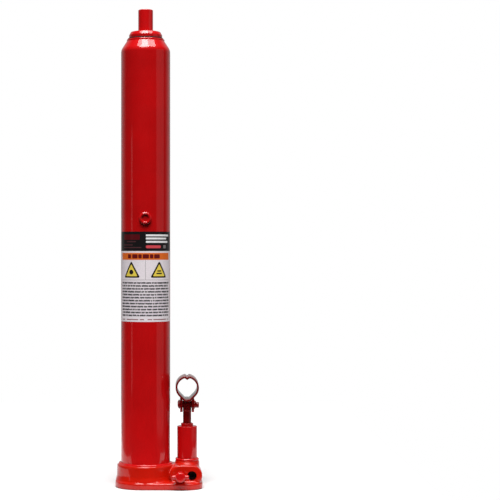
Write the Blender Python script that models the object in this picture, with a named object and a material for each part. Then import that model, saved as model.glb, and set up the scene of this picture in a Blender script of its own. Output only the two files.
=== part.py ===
"""A long-ram hydraulic bottle jack, as separate solids in metres with +Z up.

The origin is on the ram's axis at the underside of the base. The pump stands to the right of the ram,
at +X, and the release valve, the relief valve and the mouth of the handle socket face the front, -Y.
"""

import math

import bmesh
import bpy

MM = 0.001
GAP = 0.3 * MM  # left between two pieces that touch
COLUMN_STEPS = 40  # sides of the ram column's round pieces

# Heights of the whole jack.
HEIGHT = 620 * MM
SHOULDER_TOP = 581.5 * MM
NUT_TOP = 591 * MM

# Base casting.
BASE_LEFT = -39.5 * MM
BASE_RIGHT = 74 * MM
BASE_HALF_DEPTH = 40 * MM
LEFT_CORNER = 35 * MM
RIGHT_CORNER = 20 * MM
COLLAR_RADIUS = 37.2 * MM
COLLAR_TOP = 28.5 * MM
FLOOR_Z = 12 * MM
GALLERY_Z = 5.8 * MM
GALLERY_RADIUS = 1.8 * MM
GALLERY_Y = 3 * MM

# Ram column.
TUBE_RADIUS = 32 * MM
TUBE_WALL = 2.5 * MM
NECK_RADIUS = 21.3 * MM
CYLINDER_BORE = 17.3 * MM
CYLINDER_WALL = 3 * MM
CYLINDER_TOP = 545.4 * MM
NUT_RADIUS = 21.6 * MM
RAM_RADIUS = 14 * MM
NOSE_RADIUS = 9.65 * MM
PISTON_TOP = 46 * MM
FILLER_Z = 348 * MM
LABEL_LOW = 215 * MM
LABEL_HIGH = 331 * MM

# Pump.
PUMP_X = 54 * MM
PUMP_RADIUS = 13 * MM
PUMP_TOP = 78.3 * MM
PUMP_SEAT_RADIUS = 10 * MM
PUMP_SEAT_Z = 14 * MM
PUMP_BOSS_RADIUS = 16 * MM
PUMP_BOSS_TOP = 37 * MM
PLUNGER_RADIUS = 5.4 * MM
GLAND_RADIUS = 8 * MM
GLAND_TOP = 82.2 * MM

# Lever: pivot pin on the plunger, link pin behind it, fulcrum pin down at the base.
PIVOT_Z = 105.4 * MM
ARM = 26 * MM
LINK_Y = 25 * MM
FULCRUM_Z = 24 * MM
EAR_INNER = 5.9 * MM
EAR_OUTER = 9.1 * MM
SOCKET_Z = 130.2 * MM
SOCKET_RADIUS = 15 * MM
SOCKET_WALL = 2 * MM
SOCKET_FRONT = -28 * MM
SOCKET_BACK = 15 * MM
PIVOT_RADIUS = 3.6 * MM
LINK_PIN_RADIUS = 3 * MM
FULCRUM_RADIUS = 3.2 * MM
LINK_SLOT = 2.7 * MM  # how far the link's upper eye lets its pin float each way

# Front boss, with the release valve at the left and the relief valve at the right.
VALVE_Z = 17.6 * MM
VALVE_RADIUS = 4.5 * MM
RELEASE_X = 45 * MM
RELIEF_X = 60 * MM
BOSS_RADIUS = 13.3 * MM
BOSS_FRONT = 32 * MM
CROSS_PIN_REACH = 44.5 * MM  # how far in front of the ram's axis the cross pin lies
CROSS_PIN_RADIUS = 2.9 * MM

# Turns for a piece that is drawn along its own +Z.
UP = (0, 0, 0)
FRONT = (math.pi / 2, 0, 0)  # own +Z to -Y, own +Y to +Z
SIDE = (0, math.pi / 2, 0)  # own +Z to +X
ACROSS = (math.pi / 2, 0, math.pi / 2)  # own +X to +Y, own +Y to +Z, own +Z to +X

# Finishes: colour, roughness, metallic.
RED_ENAMEL = ((0.42, 0.008, 0.010), 0.25, 0.0)
GROUND_STEEL = ((0.60, 0.60, 0.61), 0.25, 1.0)
DARK_STEEL = ((0.16, 0.16, 0.17), 0.45, 1.0)
BLACK_RUBBER = ((0.02, 0.02, 0.02), 0.60, 0.0)
AMBER_POLYMER = ((0.55, 0.33, 0.10), 0.45, 0.0)
COPPER = ((0.72, 0.35, 0.22), 0.35, 1.0)
BRASS = ((0.68, 0.50, 0.22), 0.35, 1.0)
PRINTED_FILM = ((0.80, 0.80, 0.79), 0.35, 0.0)


def clear_scene():
    for obj in list(bpy.data.objects):
        bpy.data.objects.remove(obj)


def finish_material(name, finish):
    colour, roughness, metallic = finish
    material = bpy.data.materials.new(name + "_finish")
    material.use_nodes = True
    shader = material.node_tree.nodes["Principled BSDF"]
    shader.inputs["Base Color"].default_value = (*colour, 1)
    shader.inputs["Roughness"].default_value = roughness
    shader.inputs["Metallic"].default_value = metallic
    return material


def new_object(name, bm, finish=None, at=(0, 0, 0), turn=UP, parent=None):
    """A piece with a finish, or a hidden helper without one."""
    bmesh.ops.remove_doubles(bm, verts=bm.verts, dist=1e-6)
    bmesh.ops.recalc_face_normals(bm, faces=bm.faces)
    mesh = bpy.data.meshes.new(name)
    bm.to_mesh(mesh)
    bm.free()
    mesh.shade_smooth()
    mesh.set_sharp_from_angle(angle=math.radians(35))
    obj = bpy.data.objects.new(name, mesh)
    bpy.context.scene.collection.objects.link(obj)
    obj.location = at
    obj.rotation_euler = turn
    obj.parent = parent
    if finish:
        mesh.materials.append(finish_material(name, finish))
    else:
        obj.hide_render = True
        obj.display_type = "WIRE"
    return obj


def turned(name, profile, finish=None, at=(0, 0, 0), turn=UP, parent=None, steps=28):
    """A closed (radius, height) outline spun about the piece's own Z axis."""
    bm = bmesh.new()
    corners = [bm.verts.new((radius, 0, height)) for radius, height in profile]
    ends = zip(corners, corners[1:] + corners[:1])
    edges = [bm.edges.new(pair) for pair in ends if max(v.co.x for v in pair) > 0]
    bmesh.ops.spin(
        bm, geom=corners + edges, axis=(0, 0, 1), cent=(0, 0, 0), angle=2 * math.pi, steps=steps
    )
    return new_object(name, bm, finish, at, turn, parent)


def rod(name, radius, low, high, finish=None, at=(0, 0, 0), turn=UP, parent=None, steps=16):
    return turned(name, [(0, low), (radius, low), (radius, high), (0, high)], finish, at, turn, parent, steps)


def ring(name, inner, outer, low, high, finish=None, at=(0, 0, 0), turn=UP, parent=None, steps=28):
    outline = [(inner, low), (outer, low), (outer, high), (inner, high)]
    return turned(name, outline, finish, at, turn, parent, steps)


def lofted(name, sections, finish=None, at=(0, 0, 0), turn=UP, parent=None):
    """Walls between outlines of equal length, each with its height, closed at both ends."""
    bm = bmesh.new()
    loops = [[bm.verts.new((x, y, height)) for x, y in outline] for outline, height in sections]
    for low, high in zip(loops, loops[1:]):
        for i in range(len(low)):
            j = (i + 1) % len(low)
            bm.faces.new((low[i], low[j], high[j], high[i]))
    bm.faces.new(loops[0][::-1])
    bm.faces.new(loops[-1])
    return new_object(name, bm, finish, at, turn, parent)


def prism(name, outline, low, high, finish=None, at=(0, 0, 0), turn=UP, parent=None):
    return lofted(name, [(outline, low), (outline, high)], finish, at, turn, parent)


def box(name, low, high, finish=None, parent=None):
    (x0, y0, z0), (x1, y1, z1) = low, high
    return prism(name, [(x0, y0), (x1, y0), (x1, y1), (x0, y1)], z0, z1, finish, parent=parent)


def arc(centre, radius, start, end, steps):
    """Points along an arc, its angles in degrees, anticlockwise when end is larger."""
    points = []
    for i in range(steps + 1):
        angle = math.radians(start + (end - start) * i / steps)
        points.append((centre[0] + radius * math.cos(angle), centre[1] + radius * math.sin(angle)))
    return points


def rounded_rectangle(left, right, half_depth, left_radius, right_radius, steps=8):
    def corner(x, y, radius, start):
        return arc((x, y), radius, start, start + 90, steps)

    return (
        corner(right - right_radius, half_depth - right_radius, right_radius, 0)
        + corner(left + left_radius, half_depth - left_radius, left_radius, 90)
        + corner(left + left_radius, left_radius - half_depth, left_radius, 180)
        + corner(right - right_radius, right_radius - half_depth, right_radius, 270)
    )


def stadium(centre, half_length, radius, steps=10):
    """Two half circles joined by straight sides, long along the outline's first axis."""
    x, y = centre
    right = arc((x + half_length, y), radius, -90, 90, steps)
    return right + arc((x - half_length, y), radius, 90, 270, steps)


def combine(obj, others, operation, solver="EXACT"):
    for other in others:
        modifier = obj.modifiers.new(operation.lower() + "_" + other.name, "BOOLEAN")
        modifier.operation = operation
        modifier.solver = solver
        modifier.object = other


def empty(name, at, parent=None):
    obj = bpy.data.objects.new(name, None)
    bpy.context.scene.collection.objects.link(obj)
    obj.location = at
    obj.parent = parent
    return obj


def flange(name):
    """The foot plate: upright edge, rounded shoulder and a shallow slope up to the collar."""
    sections = []
    for inset, height in ((1, 0), (0, 1.2), (0.3, 6.2), (1.2, 8.0), (3.0, 9.0), (7.5, 10.6)):
        inset *= MM
        outline = rounded_rectangle(
            BASE_LEFT + inset, BASE_RIGHT - inset, BASE_HALF_DEPTH - inset,
            LEFT_CORNER - inset, RIGHT_CORNER - inset,
        )
        sections.append((outline, height * MM))
    return lofted(name, sections, RED_ENAMEL)


def base_additions():
    """The collar, the pump seat, the web between them, the valve boss and the fulcrum lugs."""
    inside = 3 * MM
    collar = turned("collar_form", [
        (0, inside), (38.6 * MM, inside), (38.6 * MM, 10 * MM), (37.6 * MM, 15 * MM),
        (COLLAR_RADIUS, 20 * MM), (COLLAR_RADIUS, 26.5 * MM), (36.3 * MM, COLLAR_TOP),
        (32.6 * MM, 32 * MM), (0, 32 * MM),
    ], steps=COLUMN_STEPS)
    seat = turned("pump_seat_form", [
        (0, inside), (17 * MM, inside), (PUMP_BOSS_RADIUS, 20 * MM), (PUMP_BOSS_RADIUS, 31 * MM),
        (15.2 * MM, 33.5 * MM), (13.4 * MM, PUMP_BOSS_TOP), (0, PUMP_BOSS_TOP),
    ], at=(PUMP_X, 0, 0))
    web = box("web_form", (20 * MM, -13.5 * MM, inside), (PUMP_X, 13.5 * MM, 30.2 * MM))
    middle = (RELEASE_X + RELIEF_X) / 2
    sections = []
    edge = 1.6 * MM
    for inset, reach in (
        (0, 1 * MM), (0, BOSS_FRONT - edge), (0.3 * edge, BOSS_FRONT - 0.3 * edge), (edge, BOSS_FRONT)
    ):
        outline = stadium((middle, VALVE_Z), (RELIEF_X - RELEASE_X) / 2, BOSS_RADIUS - inset)
        sections.append((outline, reach))
    boss = lofted("valve_boss_form", sections, turn=FRONT)
    outline = [(8 * MM, inside), (32.5 * MM, inside)] + arc((LINK_Y, FULCRUM_Z), 7.5 * MM, 0, 180, 12)
    outline += [(8 * MM, 20 * MM)]
    lugs = [
        prism("lug_form_" + side, outline, low * MM, high * MM, at=(PUMP_X, 0, 0), turn=ACROSS)
        for side, low, high in (("left", -8.6, -4.6), ("right", 4.6, 8.6))
    ]
    return [collar, seat, web, boss] + lugs


def base_cuts():
    """The seats for the tube and the pump, the valve bores and the oil galleries."""
    deep = 45 * MM
    release = (RELEASE_X, 0, VALVE_Z)
    relief = (RELIEF_X, 0, VALVE_Z)
    fulcrum = (PUMP_X, LINK_Y, FULCRUM_Z)
    return [
        rod("tube_seat_cut", TUBE_RADIUS + GAP, FLOOR_Z, deep, steps=COLUMN_STEPS),
        rod("pump_seat_cut", PUMP_SEAT_RADIUS + GAP, PUMP_SEAT_Z, deep, at=(PUMP_X, 0, 0), steps=28),
        rod("pressure_gallery_cut", GALLERY_RADIUS, -1 * MM, 90 * MM, None, (0, -GALLERY_Y, GALLERY_Z), SIDE),
        rod("suction_gallery_cut", GALLERY_RADIUS, 23 * MM, 90 * MM, None, (0, GALLERY_Y, GALLERY_Z), SIDE),
        rod("ram_feed_cut", 1.5 * MM, GALLERY_Z, 9 * MM, at=(0, -GALLERY_Y, 0)),
        rod("discharge_chamber_cut", 2.4 * MM, 8 * MM, 13 * MM, at=(0, -GALLERY_Y, 0)),
        rod("pump_outlet_cut", 1.5 * MM, GALLERY_Z, 15 * MM, at=(PUMP_X, -GALLERY_Y, 0)),
        rod("pump_inlet_cut", 1.5 * MM, GALLERY_Z, 9 * MM, at=(PUMP_X, GALLERY_Y, 0)),
        rod("suction_chamber_cut", 2.4 * MM, 8 * MM, 15 * MM, at=(PUMP_X, GALLERY_Y, 0)),
        rod("suction_feed_cut", 1.5 * MM, GALLERY_Z, 13 * MM, at=(24.6 * MM, GALLERY_Y, 0)),
        rod("release_bore_cut", VALVE_RADIUS + GAP, 12 * MM, 40 * MM, None, release, FRONT, steps=24),
        rod("relief_bore_cut", 3.2 * MM, 12 * MM, 25 * MM, None, relief, FRONT),
        rod("relief_mouth_cut", 6.1 * MM, 20 * MM, 40 * MM, None, relief, FRONT, steps=24),
        rod("relief_feed_cut", 1.5 * MM, 6 * MM, 13 * MM, None, relief, FRONT),
        rod("fulcrum_bore_cut", FULCRUM_RADIUS + GAP, -12 * MM, 12 * MM, None, fulcrum, SIDE),
    ]


def base_casting():
    """One casting. Its many crossing bores need the solver that keeps closed meshes closed."""
    base = flange("base_casting")
    combine(base, base_additions(), "UNION", "MANIFOLD")
    combine(base, base_cuts(), "DIFFERENCE", "MANIFOLD")


def gallery_plugs():
    for name, y in (("pressure_gallery_plug", -GALLERY_Y), ("suction_gallery_plug", GALLERY_Y)):
        outer_end = BASE_RIGHT - 0.6 * MM
        rod(name, GALLERY_RADIUS - 0.2 * MM, 66 * MM, outer_end, BRASS, (0, y, GALLERY_Z), SIDE, steps=16)


def suction_strainer():
    at = (24.6 * MM, GALLERY_Y, FLOOR_Z)
    turned("suction_strainer", [
        (0, GAP), (3.2 * MM, GAP), (3.2 * MM, 1.2 * MM), (2.2 * MM, 4.5 * MM), (0, 5 * MM)
    ], BRASS, at, steps=20)


def reservoir_tube():
    inner = TUBE_RADIUS - TUBE_WALL
    foot = FLOOR_Z + GAP
    tube = turned("reservoir_tube", [
        (inner, foot), (TUBE_RADIUS, foot), (TUBE_RADIUS, 564 * MM), (31.4 * MM, 566.6 * MM),
        (30.2 * MM, 569.4 * MM), (26.4 * MM, 576 * MM), (24.7 * MM, 578 * MM), (24.5 * MM, 580.3 * MM),
        (23.6 * MM, SHOULDER_TOP), (NECK_RADIUS, SHOULDER_TOP), (NECK_RADIUS, 563 * MM),
        (24 * MM, 561 * MM), (inner, 558 * MM),
    ], RED_ENAMEL, steps=COLUMN_STEPS)
    hole = rod("filler_hole_cut", 5.2 * MM, 20 * MM, 40 * MM, at=(0, 0, FILLER_Z), turn=FRONT)
    combine(tube, [hole], "DIFFERENCE")


def ram_cylinder():
    outer = CYLINDER_BORE + CYLINDER_WALL
    low = FLOOR_Z + GAP
    ring("lower_cylinder_gasket", CYLINDER_BORE + GAP, outer, low, low + 1.4 * MM, COPPER)
    ring("inner_cylinder", CYLINDER_BORE, outer, low + 1.7 * MM, CYLINDER_TOP, GROUND_STEEL)
    high = CYLINDER_TOP + GAP
    ring("upper_cylinder_gasket", CYLINDER_BORE + GAP, outer, high, high + 1.4 * MM, COPPER)


def top_nut():
    """The gland nut that closes the column: thread, flange with a rounded rim, and two seal grooves."""
    bore = RAM_RADIUS + 0.4 * MM
    groove = 17.3 * MM
    low = CYLINDER_TOP + 2 * MM
    seal_low, seal_high = low + 4.3 * MM, low + 8.9 * MM
    wiper_low, wiper_high = NUT_TOP - 7.5 * MM, NUT_TOP - 3.2 * MM
    rim = arc((NUT_RADIUS - 2.6 * MM, NUT_TOP - 2.6 * MM), 2.6 * MM, 0, 90, 4)
    turned("top_nut", [
        (bore, low), (19.9 * MM, low), (20.9 * MM, low + 1 * MM), (20.9 * MM, SHOULDER_TOP + 1.7 * MM),
        (NUT_RADIUS, SHOULDER_TOP + 1.7 * MM),
        *rim,
        (bore, NUT_TOP), (bore, wiper_high), (groove, wiper_high), (groove, wiper_low), (bore, wiper_low),
        (bore, seal_high), (groove, seal_high), (groove, seal_low), (bore, seal_low),
    ], RED_ENAMEL, steps=COLUMN_STEPS)
    ring("nut_washer", 21.2 * MM, 23 * MM, SHOULDER_TOP + GAP, SHOULDER_TOP + 1.4 * MM, BLACK_RUBBER)
    ring("ram_wiper", RAM_RADIUS + GAP, groove - GAP, wiper_low + GAP, wiper_high - GAP, AMBER_POLYMER)
    ring("ram_rod_seal", RAM_RADIUS + GAP, groove - GAP, seal_low + GAP, seal_high - GAP, BLACK_RUBBER)


def ram(parent):
    """The ram with its nose, and the piston stack that is held on its lower spigot."""
    spigot = 7 * MM
    skirt = CYLINDER_BORE - GAP
    shoulder = NUT_TOP - 0.2 * MM
    turned("ram_rod", [
        (0, 17 * MM), (spigot, 17 * MM), (spigot, PISTON_TOP + GAP), (RAM_RADIUS, PISTON_TOP + GAP),
        (RAM_RADIUS, shoulder - 0.8 * MM), (RAM_RADIUS - 0.8 * MM, shoulder), (NOSE_RADIUS, shoulder),
        (NOSE_RADIUS, HEIGHT - 1.2 * MM), (NOSE_RADIUS - 1.2 * MM, HEIGHT), (0, HEIGHT),
    ], RED_ENAMEL, parent=parent)
    ring("ram_piston", spigot + GAP, skirt, 30 * MM, PISTON_TOP, DARK_STEEL, parent=parent)
    turned("piston_cup_seal", [
        (spigot + GAP, 29.7 * MM), (spigot + GAP, 27 * MM), (13 * MM, 27 * MM), (14.5 * MM, 25 * MM),
        (skirt, 25 * MM), (skirt, 29.7 * MM),
    ], BLACK_RUBBER, parent=parent)
    ring("backup_washer", spigot + GAP, 12.5 * MM, 25 * MM, 26.7 * MM, GROUND_STEEL, parent=parent)
    hexagon = arc((0, 0), 11 * MM, 0, 300, 5)
    nut = prism("piston_nut", hexagon, 18.5 * MM, 24.7 * MM, DARK_STEEL, parent=parent)
    combine(nut, [rod("piston_nut_cut", spigot + GAP, 10 * MM, 30 * MM)], "DIFFERENCE")


def filler_plug():
    """A bung with a raised rim round a dished centre, pushed into the tube's front."""
    back = TUBE_RADIUS + 0.4 * MM
    turned("filler_plug", [
        (0, back - 4.4 * MM), (4.4 * MM, back - 4.4 * MM), (4.8 * MM, back - 4 * MM), (4.8 * MM, back),
        (8 * MM, back), (8 * MM, back + 1.8 * MM), (7 * MM, back + 2.9 * MM), (5.4 * MM, back + 2.9 * MM),
        (4.4 * MM, back + 1.2 * MM), (0, back + 1.2 * MM),
    ], RED_ENAMEL, (0, 0, FILLER_Z), FRONT, steps=24)


def label():
    """A thin film wrapped round the front of the tube."""
    inner = TUBE_RADIUS + GAP
    sector = arc((0, 0), inner + GAP, 185, 355, 24) + arc((0, 0), inner, 355, 185, 24)
    prism("label", sector, LABEL_LOW, LABEL_HIGH, PRINTED_FILM)


def pump_barrel():
    bore = PLUNGER_RADIUS + 0.4 * MM
    foot = PUMP_SEAT_Z + 1.6 * MM
    step = PUMP_BOSS_TOP + GAP
    at = (PUMP_X, 0, 0)
    ring("pump_gasket", bore, PUMP_SEAT_RADIUS, PUMP_SEAT_Z + GAP, foot - GAP, COPPER, at)
    turned("pump_cylinder", [
        (bore, foot), (PUMP_SEAT_RADIUS, foot), (PUMP_SEAT_RADIUS, step), (PUMP_RADIUS, step),
        (PUMP_RADIUS, PUMP_TOP - 0.7 * MM), (PUMP_RADIUS - 0.7 * MM, PUMP_TOP),
        (GLAND_RADIUS + GAP, PUMP_TOP), (GLAND_RADIUS + GAP, 69 * MM), (bore, 69 * MM),
    ], RED_ENAMEL, at)
    ring("plunger_lip_seal", PLUNGER_RADIUS + GAP, GLAND_RADIUS, 69.3 * MM, 73 * MM, BLACK_RUBBER, at)
    turned("pump_gland_ring", [
        (bore, 73.3 * MM), (GLAND_RADIUS, 73.3 * MM), (GLAND_RADIUS, GLAND_TOP - 1 * MM),
        (GLAND_RADIUS - 0.8 * MM, GLAND_TOP), (bore, GLAND_TOP),
    ], RED_ENAMEL, at)


def plunger(parent):
    """The pump plunger, its rounded eye for the pivot pin, and its O-ring."""
    low = 30 * MM - PIVOT_Z
    groove = PLUNGER_RADIUS - 1.2 * MM
    body = turned("pump_plunger", [
        (0, low), (PLUNGER_RADIUS - 0.6 * MM, low), (PLUNGER_RADIUS, low + 0.6 * MM),
        (PLUNGER_RADIUS, low + 3 * MM), (groove, low + 3 * MM), (groove, low + 5.4 * MM),
        (PLUNGER_RADIUS, low + 5.4 * MM), (PLUNGER_RADIUS, -5 * MM), (0, -5 * MM),
    ], RED_ENAMEL, parent=parent)
    outline = [(-6.3 * MM, -7.5 * MM), (6.3 * MM, -7.5 * MM)] + arc((0, 0), 6.3 * MM, 0, 180, 12)
    head = prism("plunger_eye_form", outline, -5.3 * MM, 5.3 * MM, turn=ACROSS, parent=parent)
    hole = rod("plunger_eye_cut", PIVOT_RADIUS + GAP, -9 * MM, 9 * MM, turn=SIDE, parent=parent)
    combine(body, [head], "UNION")
    combine(body, [hole], "DIFFERENCE")
    ring("plunger_o_ring", groove + GAP, PLUNGER_RADIUS + 0.1 * MM, low + 3.3 * MM, low + 5.1 * MM,
         BLACK_RUBBER, parent=parent)


def socket_section(radius, flat, dent_width, dent_depth):
    """A round sleeve's outline with a vee bottom cut off flat, and a crimp at the top."""
    lift = radius * math.sqrt(2)
    outline = [(-flat, flat - lift), (flat, flat - lift)]
    outline += arc((0, 0), radius, -45, 90 - math.degrees(dent_width / radius), 14)
    outline += [(0, radius - dent_depth)]
    outline += arc((0, 0), radius, 90 + math.degrees(dent_width / radius), 225, 14)
    return outline


def handle_socket(parent):
    """The sleeve that takes the pump handle, with two ears that straddle the plunger and the link."""
    centre = (0, 0, SOCKET_Z - PIVOT_Z)
    outer = socket_section(SOCKET_RADIUS, 4.2 * MM, 2.4 * MM, 1.7 * MM)
    inner = socket_section(SOCKET_RADIUS - SOCKET_WALL, 2.6 * MM, 3 * MM, 2.6 * MM)
    sleeve = prism("handle_socket", outer, -SOCKET_BACK, -SOCKET_FRONT, RED_ENAMEL, centre, FRONT, parent)
    ear_top = 11.8 * MM
    outline = (
        arc((-4.5 * MM, -4.9 * MM), 4 * MM, 180, 270, 4)
        + [(ARM, -8 * MM)]
        + arc((ARM, 0), 8 * MM, -60, 90, 10)
        + [(17 * MM, 8 * MM), (13 * MM, ear_top), (-8.5 * MM, ear_top)]
    )
    ears = [
        prism("ear_form_" + side, outline, low, high, turn=ACROSS, parent=parent)
        for side, low, high in (("left", -EAR_OUTER, -EAR_INNER), ("right", EAR_INNER, EAR_OUTER))
    ]
    combine(sleeve, ears, "UNION")
    link_hole = LINK_PIN_RADIUS + GAP
    combine(sleeve, [
        prism("socket_mouth_cut", inner, -40 * MM, 50 * MM, at=centre, turn=FRONT, parent=parent),
        rod("pivot_bore_cut", PIVOT_RADIUS + GAP, -15 * MM, 15 * MM, turn=SIDE, parent=parent),
        rod("link_bore_cut", link_hole, -15 * MM, 15 * MM, at=(0, ARM, 0), turn=SIDE, parent=parent),
    ], "DIFFERENCE")


def headed_pin(name, radius, head_radius, inside, tip, at, parent=None):
    """A clevis pin along X: a domed head beyond -inside, and a chamfered tip at +tip."""
    back = -inside - GAP
    dome = [(head_radius * math.cos(math.radians(a)), back - 3 * MM * math.sin(math.radians(a)))
            for a in (72, 48, 24, 0)]
    turned(name, [(0, back - 3 * MM)] + dome + [
        (radius, back), (radius, tip - 0.8 * MM), (radius - 0.8 * MM, tip), (0, tip),
    ], RED_ENAMEL, at, SIDE, parent, steps=16)


def clip(name, pin_radius, inside, at, parent=None):
    ring(name, pin_radius + 0.25 * MM, pin_radius + 1.7 * MM, inside + GAP, inside + 1.1 * MM, DARK_STEEL,
         at, SIDE, parent, steps=16)


def lever_pins(parent):
    headed_pin("pivot_pin", PIVOT_RADIUS, 5 * MM, EAR_OUTER, 15.5 * MM, (0, 0, 0), parent)
    clip("pivot_clip", PIVOT_RADIUS, EAR_OUTER, (0, 0, 0), parent)
    headed_pin("link_pin", LINK_PIN_RADIUS, 4.5 * MM, EAR_OUTER, 12 * MM, (0, ARM, 0), parent)
    clip("link_clip", LINK_PIN_RADIUS, EAR_OUTER, (0, ARM, 0), parent)


def fulcrum_link(parent):
    """The bar from the base's lugs up to the lever. Its upper eye is slotted for the lever's arc."""
    rise = PIVOT_Z - FULCRUM_Z
    half = 4 * MM
    bar = prism("fulcrum_link", [
        (-5 * MM, 0), (5 * MM, 0), (5 * MM, rise), (-5 * MM, rise)
    ], -half, half, DARK_STEEL, turn=ACROSS, parent=parent)
    lower = rod("link_foot_form", 7 * MM, -half, half, turn=SIDE, parent=parent, steps=24)
    eye = stadium((0, rise), 2.2 * MM, 6.6 * MM)
    upper = prism("link_eye_form", eye, -half, half, turn=ACROSS, parent=parent)
    foot_hole = rod("link_foot_cut", FULCRUM_RADIUS + GAP, -9 * MM, 9 * MM, turn=SIDE, parent=parent)
    slot = stadium((0, rise), LINK_SLOT, LINK_PIN_RADIUS + 0.45 * MM)
    eye_slot = prism("link_eye_cut", slot, -9 * MM, 9 * MM, turn=ACROSS, parent=parent)
    combine(bar, [lower, upper], "UNION")
    combine(bar, [foot_hole, eye_slot], "DIFFERENCE")


def fulcrum_pin():
    at = (PUMP_X, LINK_Y, FULCRUM_Z)
    headed_pin("fulcrum_pin", FULCRUM_RADIUS, 4.8 * MM, 8.6 * MM, 12 * MM, at)
    clip("fulcrum_clip", FULCRUM_RADIUS, 8.6 * MM, at)


def ball(name, radius, at, finish=GROUND_STEEL):
    outline = [(radius * math.cos(math.radians(a)), radius * math.sin(math.radians(a)))
               for a in range(-90, 91, 20)]
    outline[0] = (0, -radius)
    outline[-1] = (0, radius)
    turned(name, outline, finish, at, steps=12)


def release_valve(parent):
    """The screw that lets the ram down: stem, round head, cross pin, O-ring and the ball it presses."""
    groove = VALVE_RADIUS - 1.4 * MM
    head = 6.5 * MM
    face = BOSS_FRONT + 0.5 * MM
    tip = 49 * MM
    stem = turned("release_valve_stem", [
        (0, 17 * MM), (2.5 * MM, 17 * MM), (VALVE_RADIUS, 19 * MM),
        (VALVE_RADIUS, 23 * MM), (groove, 23 * MM),
        (groove, 25.6 * MM), (VALVE_RADIUS, 25.6 * MM), (VALVE_RADIUS, face), (head - 0.8 * MM, face),
        (head, face + 0.8 * MM), (head, tip - 1.6 * MM), (head - 0.6 * MM, tip - 0.5 * MM),
        (head - 1.8 * MM, tip), (0, tip),
    ], RED_ENAMEL, turn=FRONT, parent=parent, steps=24)
    at = (0, -CROSS_PIN_REACH, 0)
    hole = rod("cross_pin_cut", CROSS_PIN_RADIUS + GAP, -12 * MM, 12 * MM, at=at, turn=SIDE, parent=parent)
    combine(stem, [hole], "DIFFERENCE")
    reach = 11 * MM
    round_off = 1.1 * MM
    turned("release_cross_pin", [
        (0, -reach), (CROSS_PIN_RADIUS - round_off, -reach), (CROSS_PIN_RADIUS, round_off - reach),
        (CROSS_PIN_RADIUS, reach - round_off), (CROSS_PIN_RADIUS - round_off, reach), (0, reach),
    ], RED_ENAMEL, at, SIDE, parent, steps=16)
    ring("release_o_ring", groove + GAP, VALVE_RADIUS, 23.3 * MM, 25.3 * MM, BLACK_RUBBER, turn=FRONT,
         parent=parent, steps=24)
    ball("release_ball", 2.2 * MM, (RELEASE_X, -14.3 * MM, VALVE_Z))


def relief_valve():
    """The overload valve at the right of the boss: a ball, its spring and a recessed adjusting screw."""
    ball("relief_ball", 2.4 * MM, (RELIEF_X, -14.5 * MM, VALVE_Z))
    at = (RELIEF_X, 0, VALVE_Z)
    screw = rod("relief_screw", 5.8 * MM, 20.6 * MM, 26 * MM, BLACK_RUBBER, at, FRONT, steps=24)
    hexagon = prism("relief_hex_cut", arc((0, 0), 2.9 * MM, 0, 300, 5), 23 * MM, 30 * MM,
                    at=(RELIEF_X, 0, VALVE_Z), turn=FRONT)
    combine(screw, [hexagon], "DIFFERENCE")
    relief_spring()


def relief_spring():
    turns, per_turn, radius, low, high = 3, 10, 2.2 * MM, 17.7 * MM, 19.8 * MM
    curve = bpy.data.curves.new("relief_spring", "CURVE")
    curve.dimensions = "3D"
    curve.bevel_depth = 0.3 * MM
    curve.bevel_resolution = 1
    curve.use_fill_caps = True
    spline = curve.splines.new("POLY")
    count = turns * per_turn
    spline.points.add(count)
    for i, point in enumerate(spline.points):
        angle = 2 * math.pi * i / per_turn
        point.co = (radius * math.cos(angle), radius * math.sin(angle), low + (high - low) * i / count, 1)
    curve.materials.append(finish_material("relief_spring", DARK_STEEL))
    obj = bpy.data.objects.new("relief_spring", curve)
    bpy.context.scene.collection.objects.link(obj)
    obj.location = (RELIEF_X, 0, VALVE_Z)
    obj.rotation_euler = FRONT


def check_balls():
    ball("discharge_ball", 2 * MM, (0, -GALLERY_Y, 9.6 * MM))
    ball("suction_ball", 2 * MM, (PUMP_X, GALLERY_Y, 9.6 * MM))


def main():
    clear_scene()
    base_casting()
    gallery_plugs()
    suction_strainer()
    reservoir_tube()
    ram_cylinder()
    top_nut()
    ram(empty("ram_axis", (0, 0, 0)))
    filler_plug()
    label()
    pump_barrel()
    plunger_axis = empty("plunger_axis", (PUMP_X, 0, PIVOT_Z))
    plunger(plunger_axis)
    lever_axis = empty("lever_axis", (0, 0, 0), plunger_axis)
    handle_socket(lever_axis)
    lever_pins(lever_axis)
    fulcrum_link(empty("link_axis", (PUMP_X, LINK_Y, FULCRUM_Z)))
    fulcrum_pin()
    release_valve(empty("release_axis", (RELEASE_X, 0, VALVE_Z)))
    relief_valve()
    check_balls()


main()
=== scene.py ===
"""The looks of a long-ram bottle jack, modelled round its fixed frame and laid out as an add-on."""

import math
import random

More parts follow.
